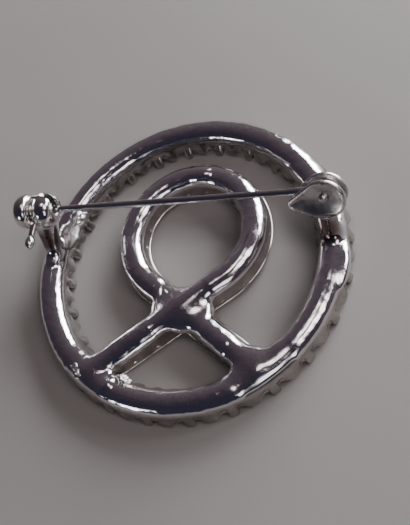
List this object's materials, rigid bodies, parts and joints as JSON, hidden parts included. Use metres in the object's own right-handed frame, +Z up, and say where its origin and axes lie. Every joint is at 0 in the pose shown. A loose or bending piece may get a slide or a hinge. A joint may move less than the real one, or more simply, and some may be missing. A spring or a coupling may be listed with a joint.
{
  "type": "ribbon brooch",
  "caption": "Round stone-set brooch with a ribbon loop inside the ring, lying face down with its pin, hinge and turning safety catch up.",
  "frame": {"origin": "middle of the ring, on the surface that the claw tips rest on", "axes": "+Z up to the pin, on the back of the brooch; +Y to the top of the ribbon's loop; +X from the catch to the hinge"},
  "size_m": [0.0379, 0.0372, 0.0098],
  "materials": {
    "polished_metal": "mirror-bright white metal plating with fine wear scratches and bright solder beads",
    "pin_steel": "drawn steel wire, polished, with faint lengthwise lines",
    "catch_metal": "polished plated brass of the turning sleeve and lever",
    "cut_stone": "clear cut glass with a silvered back"
  },
  "bodies": {
    "brooch": {"brooch_frame": "polished_metal", "ribbon_stones": "cut_stone", "hinge_rivet": "polished_metal", "ring_stone_01": "cut_stone", "ring_stone_02": "cut_stone", "ring_stone_03": "cut_stone", "ring_stone_04": "cut_stone", "ring_stone_05": "cut_stone", "ring_stone_06": "cut_stone", "ring_stone_07": "cut_stone", "ring_stone_08": "cut_stone", "ring_stone_09": "cut_stone", "ring_stone_10": "cut_stone", "ring_stone_11": "cut_stone", "ring_stone_12": "cut_stone", "ring_stone_13": "cut_stone", "ring_stone_14": "cut_stone", "ring_stone_15": "cut_stone", "ring_stone_16": "cut_stone", "ring_stone_17": "cut_stone", "ring_stone_18": "cut_stone", "ring_stone_19": "cut_stone", "ring_stone_20": "cut_stone", "ring_stone_21": "cut_stone", "ring_stone_22": "cut_stone", "ring_stone_23": "cut_stone", "ring_stone_24": "cut_stone"},
    "pin": {"pin_stem": "pin_steel"},
    "lever": {"catch_lever": "catch_metal"}
  },
  "joints": [
    {"name": "pin_swing", "type": "hinge", "parent": "brooch", "child": "pin", "pos_m": [0.01659, 0.0039, 0.00735], "axis": [0, 0.866, -0.5], "range_deg": [0, 100]},
    {"name": "lever_turn", "type": "hinge", "parent": "brooch", "child": "lever", "pos_m": [-0.01659, 0.0041, 0.0077], "axis": [-1, 0, 0], "range_deg": [0, 90]}
  ]
}
